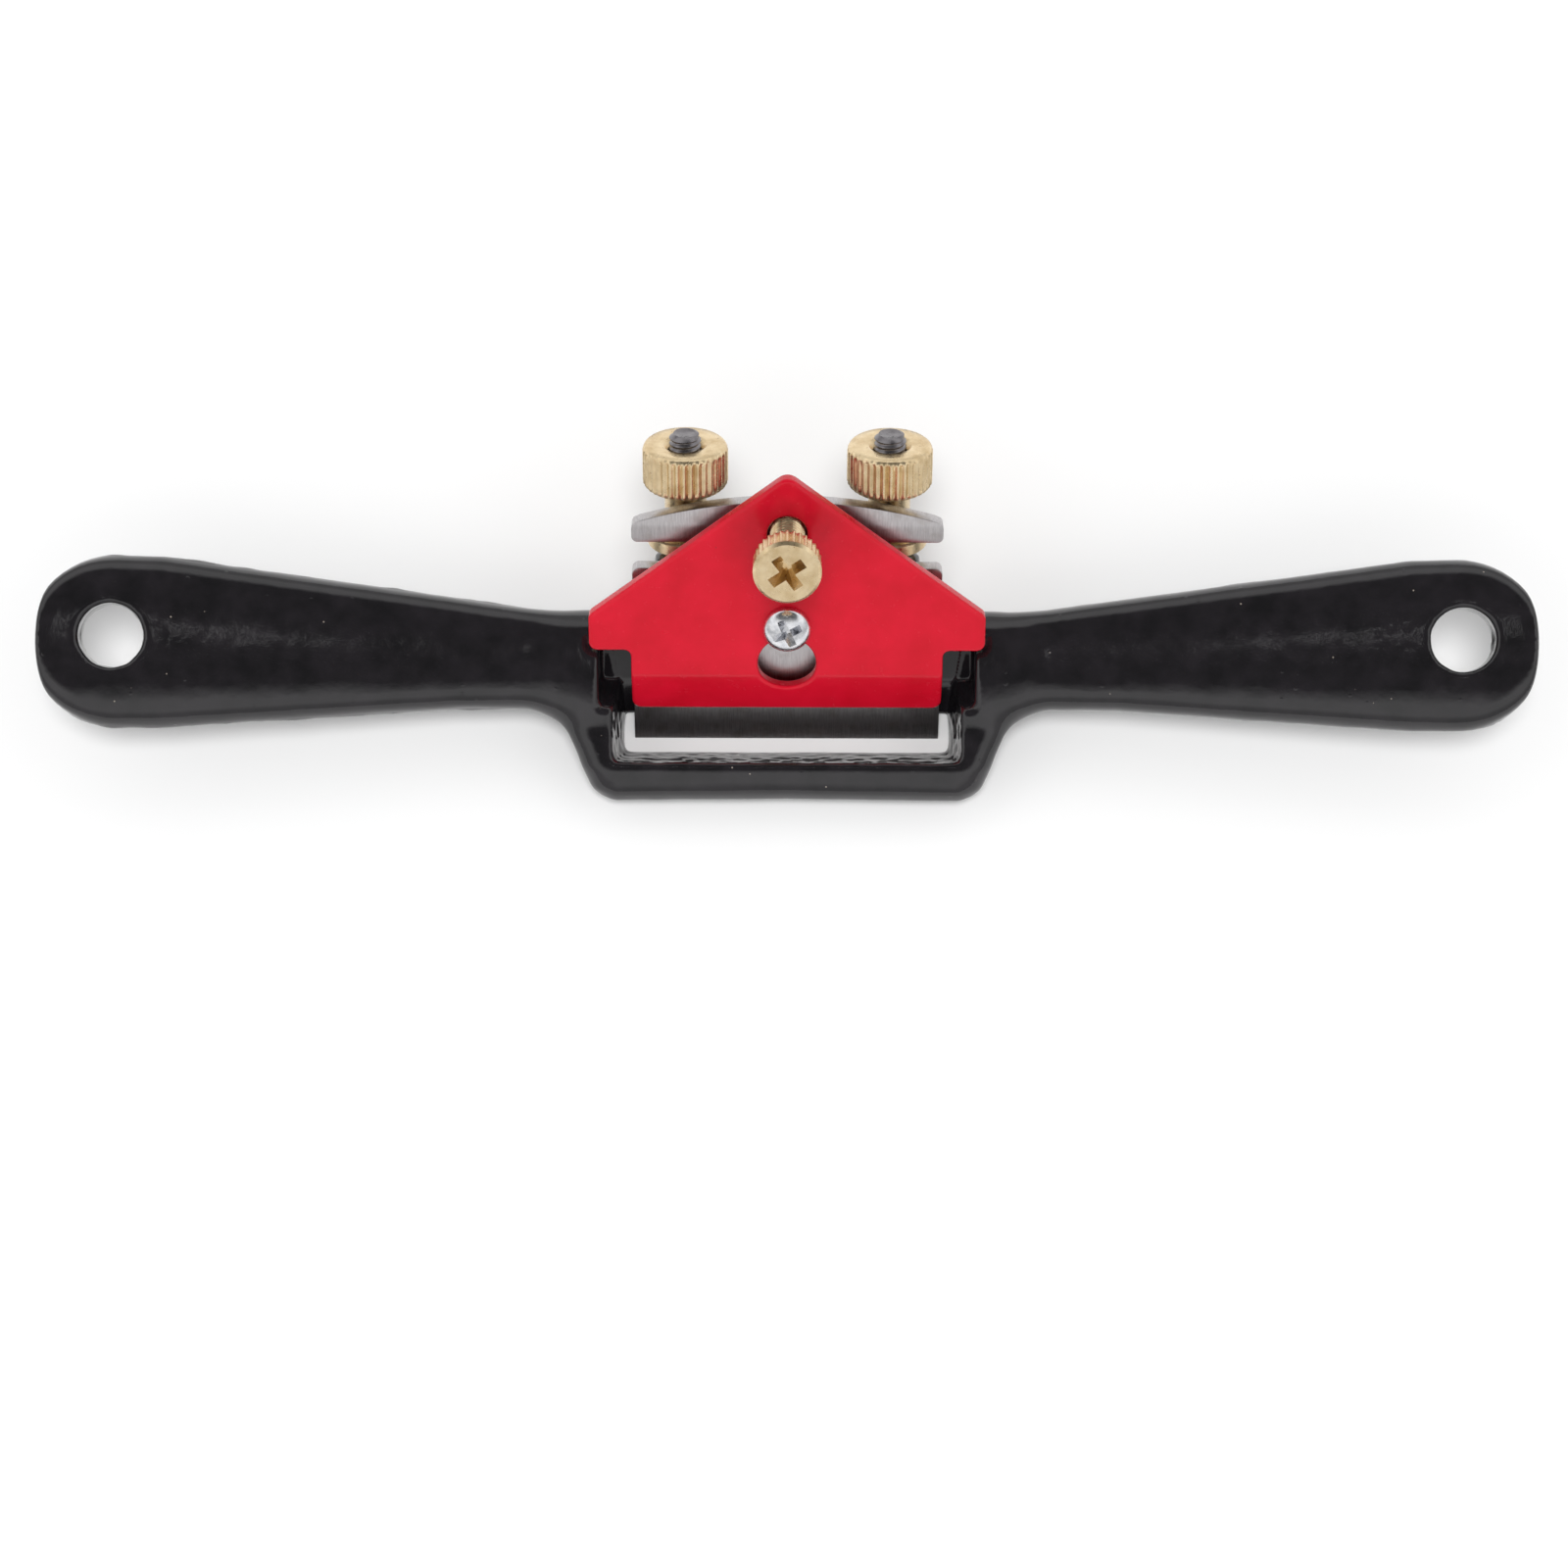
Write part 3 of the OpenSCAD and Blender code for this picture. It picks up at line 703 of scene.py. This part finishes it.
def maths(tree, operation, a, b):
    return add(tree, "ShaderNodeMath", {0: a, 1: b}, operation=operation).outputs[0]


def mixed(tree, share, a, b):
    """Colour a turning to b."""
    made = add(tree, "ShaderNodeMix", data_type="RGBA")
    for socket, value in ((made.inputs[0], share), (made.inputs[6], a), (made.inputs[7], b)):
        if isinstance(value, bpy.types.NodeSocket):
            tree.links.new(value, socket)
        else:
            socket.default_value = (*value, 1) if isinstance(value, tuple) else value
    return made.outputs[2]


def bumped(tree, shader, *layers):
    """Bump from several heights: each layer is (height, how deep in millimetres)."""
    normal = None
    for height, depth in layers:
        inputs = {"Height": height, "Distance": depth * MM, "Strength": 1}
        if normal:
            inputs["Normal"] = normal
        normal = add(tree, "ShaderNodeBump", inputs).outputs[0]
    tree.links.new(normal, shader.inputs["Normal"])


def specks(tree, where, spacing, size, share):
    """1 in small scattered dots: size of spacing, in share of the cells."""
    cells = add(tree, "ShaderNodeTexVoronoi", {"Vector": where, "Scale": 1 / spacing})
    dots = ramp(tree, cells.outputs["Distance"], (size * 0.5, 1.0), (size, 0.0))
    chosen = add(tree, "ShaderNodeSeparateColor", {"Color": cells.outputs["Color"]}).outputs[0]
    return maths(tree, "MULTIPLY", dots, maths(tree, "LESS_THAN", chosen, share))


def near(tree, where, radius, softness):
    """1 close to the origin of where, 0 beyond radius."""
    far = add(tree, "ShaderNodeVectorMath", {0: where}, operation="LENGTH").outputs["Value"]
    return ramp(tree, maths(tree, "DIVIDE", far, radius), (1 - softness, 1.0), (1, 0.0))


def black_enamel():
    made, tree, shader = new_material("black_enamel", Coat_Weight=0.35, Coat_Roughness=0.03,
                                      Specular_IOR_Level=0.4)
    where = placed(tree)
    dust = specks(tree, where, 2.6, 0.055, 0.35)
    grains = specks(tree, where, 1.9, 0.16, 0.3)
    base = ramp(tree, clouds(tree, where, 0.25), (0.3, (0.006, 0.0055, 0.0065)),
                (0.7, (0.014, 0.012, 0.0145)))
    tree.links.new(mixed(tree, dust, base, (0.3, 0.26, 0.22)), shader.inputs["Base Color"])
    tree.links.new(ramp(tree, clouds(tree, where, 0.5), (0.3, 0.06), (0.75, 0.13)),
                   shader.inputs["Roughness"])
    peel = clouds(tree, where, 1.3, 2)
    bumped(tree, shader, (peel, 0.012), (clouds(tree, where, 4, 2), 0.003), (grains, 0.03))
    return made


def red_enamel():
    made, tree, shader = new_material("red_enamel", Coat_Weight=0.12, Coat_Roughness=0.04,
                                      Specular_IOR_Level=0.2)
    where = placed(tree, BED_ANGLE)
    around = placed(tree, BED_ANGLE, at=(0, THUMB_V, CAP_TOP))
    cloud = clouds(tree, where, 0.16, 4)
    base = ramp(tree, cloud, (0.3, (0.55, 0.004, 0.017)), (0.7, (0.66, 0.006, 0.026)))
    # painted shade: the red darkens in a mottled patch around the thumb screw, where its head shades the cap
    painted_shade = maths(tree, "MULTIPLY", near(tree, around, 9.5, 0.75), clouds(tree, where, 0.3, 4))
    base = mixed(tree, maths(tree, "MULTIPLY", painted_shade, 1.1), base, (0.26, 0.006, 0.012))
    base = mixed(tree, specks(tree, where, 3.4, 0.05, 0.3), base, (0.12, 0.02, 0.02))
    tree.links.new(base, shader.inputs["Base Color"])
    tree.links.new(ramp(tree, clouds(tree, where, 0.7), (0.3, 0.18), (0.75, 0.3)), shader.inputs["Roughness"])
    bumped(tree, shader, (clouds(tree, where, 0.9, 2), 0.006), (specks(tree, where, 3, 0.09, 0.25), 0.02))
    return made


def blade_steel():
    made, tree, shader = new_material("blade_steel", Metallic=1.0, Anisotropic=0.4)
    grain = clouds(tree, placed(tree, BED_ANGLE, scale=(7, 0.35, 1)), 1, 4, 0.7)
    fine = clouds(tree, placed(tree, BED_ANGLE, scale=(22, 1.2, 1)), 1, 3, 0.7)
    stain = clouds(tree, placed(tree, BED_ANGLE), 0.35, 5)
    base = ramp(tree, grain, (0.25, (0.36, 0.34, 0.35)), (0.75, (0.62, 0.6, 0.6)))
    base = mixed(tree, ramp(tree, stain, (0.52, 0.0), (0.72, 0.5)), base, (0.3, 0.26, 0.23))
    tree.links.new(base, shader.inputs["Base Color"])
    tree.links.new(ramp(tree, fine, (0.3, 0.26), (0.7, 0.42)), shader.inputs["Roughness"])
    bumped(tree, shader, (grain, 0.004), (fine, 0.002))
    return made


def brass():
    made, tree, shader = new_material("brass", Metallic=1.0)
    where = placed(tree)
    tarnish = clouds(tree, where, 0.5, 5)
    base = ramp(tree, tarnish, (0.3, (0.66, 0.49, 0.27)), (0.62, (0.86, 0.69, 0.44)))
    pits = specks(tree, where, 0.9, 0.14, 0.4)
    tree.links.new(mixed(tree, pits, base, (0.42, 0.27, 0.14)), shader.inputs["Base Color"])
    tree.links.new(ramp(tree, clouds(tree, where, 1.6, 3), (0.3, 0.24), (0.75, 0.4)),
                   shader.inputs["Roughness"])
    bumped(tree, shader, (clouds(tree, where, 3.2, 3), 0.006), (pits, -0.012))
    return made


def zinc_plate():
    made, tree, shader = new_material("zinc_plate", Metallic=1.0)
    where = placed(tree, BED_ANGLE, at=(0, CAP_SCREW_V, CAP_TOP))
    cloud = clouds(tree, where, 1.1, 4)
    tree.links.new(ramp(tree, cloud, (0.35, (0.6, 0.61, 0.64)), (0.65, (0.88, 0.88, 0.9))),
                   shader.inputs["Base Color"])
    tree.links.new(ramp(tree, cloud, (0.3, 0.14), (0.7, 0.3)), shader.inputs["Roughness"])
    bumped(tree, shader, (clouds(tree, where, 2.4, 3), 0.012))
    return made


def dark_steel():
    made, tree, shader = new_material("dark_steel", Metallic=1.0)
    where = placed(tree)
    cloud = clouds(tree, where, 1.0, 4)
    tree.links.new(ramp(tree, cloud, (0.3, (0.17, 0.16, 0.17)), (0.7, (0.3, 0.285, 0.295))),
                   shader.inputs["Base Color"])
    tree.links.new(ramp(tree, cloud, (0.3, 0.22), (0.7, 0.4)), shader.inputs["Roughness"])
    bumped(tree, shader, (clouds(tree, where, 3, 3), 0.002))
    return made


# ---- floor, lights and camera ----
def floor():
    """A pale floor just under the sole."""
    bm = bmesh.new()
    bmesh.ops.create_grid(bm, x_segments=8, y_segments=8, size=3)
    mesh = bpy.data.meshes.new("floor")
    bm.to_mesh(mesh)
    bm.free()
    made, tree, shader = new_material("floor_paper", Specular_IOR_Level=0.1, Roughness=0.9)
    tone = clouds(tree, placed(tree), 0.004, 2)
    tree.links.new(ramp(tree, tone, (0.3, (0.93, 0.93, 0.93)), (0.7, (0.95, 0.95, 0.95))),
                   shader.inputs["Base Color"])
    mesh.materials.append(made)
    obj = bpy.data.objects.new("floor", mesh)
    obj.location = (0, 0, -0.05 * MM)
    bpy.context.scene.collection.objects.link(obj)


def studio():
    """Soft light from all sides, brighter in a band halfway up, and two lamps high above. The wide one
    lights without showing in gloss, and the small one is what the gloss reflects."""
    world = bpy.data.worlds.new("studio")
    world.use_nodes = True
    tree = world.node_tree
    coords = add(tree, "ShaderNodeTexCoord").outputs["Generated"]
    height = add(tree, "ShaderNodeSeparateXYZ", {0: coords}).outputs[2]
    colour = ramp(tree, height, (0, 0.55), (0.3, 0.62), (0.5, 1.0), (0.72, 1.0), (0.84, 0.12), (1, 0.1))
    tree.links.new(colour, tree.nodes["Background"].inputs["Color"])
    tree.nodes["Background"].inputs["Strength"].default_value = 1.1
    bpy.context.scene.world = world
    for name, size, energy, glossy in (("fill", 1.6, 84, False), ("lamp", 0.1, 1.6, True)):
        lamp = bpy.data.lights.new(name, "AREA")
        lamp.shape = "DISK"
        lamp.size = size
        lamp.energy = energy
        obj = bpy.data.objects.new(name, lamp)
        obj.visible_glossy = glossy
        obj.matrix_world = (Matrix.Rotation(math.radians(GRIP_TILT), 4, "X")
                            @ Matrix.Translation((0, 0.45, 4.0)))
        bpy.context.scene.collection.objects.link(obj)


def camera():
    """Looks straight down at the grips, square to their plane."""
    data = bpy.data.cameras.new("camera")
    data.sensor_width = 36
    data.lens = 91
    obj = bpy.data.objects.new("camera", data)
    obj.matrix_world = (Matrix.Rotation(math.radians(GRIP_TILT), 4, "X")
                        @ Matrix.Translation((-0.34 * MM, -6.44 * MM, 562 * MM))
                        @ Matrix.Rotation(math.radians(0.2), 4, "Z"))
    bpy.context.scene.collection.objects.link(obj)
    bpy.context.scene.camera = obj
    bpy.context.scene.view_settings.view_transform = "Standard"


body_casting(black_enamel())
cap_iron(red_enamel())
blade(blade_steel())
brass_finish, dark_finish = brass(), dark_steel()
stud("stud_left", -1, "left_stud", dark_finish)
stud("stud_right", 1, "right_stud", dark_finish)
adjuster_nut("nut_left", -1, "left_nut", "left_adjuster_nut", brass_finish)
adjuster_nut("nut_right", 1, "right_nut", "right_adjuster_nut", brass_finish)
thumb_screw(brass_finish)
cap_screw(zinc_plate())
floor()
studio()
camera()
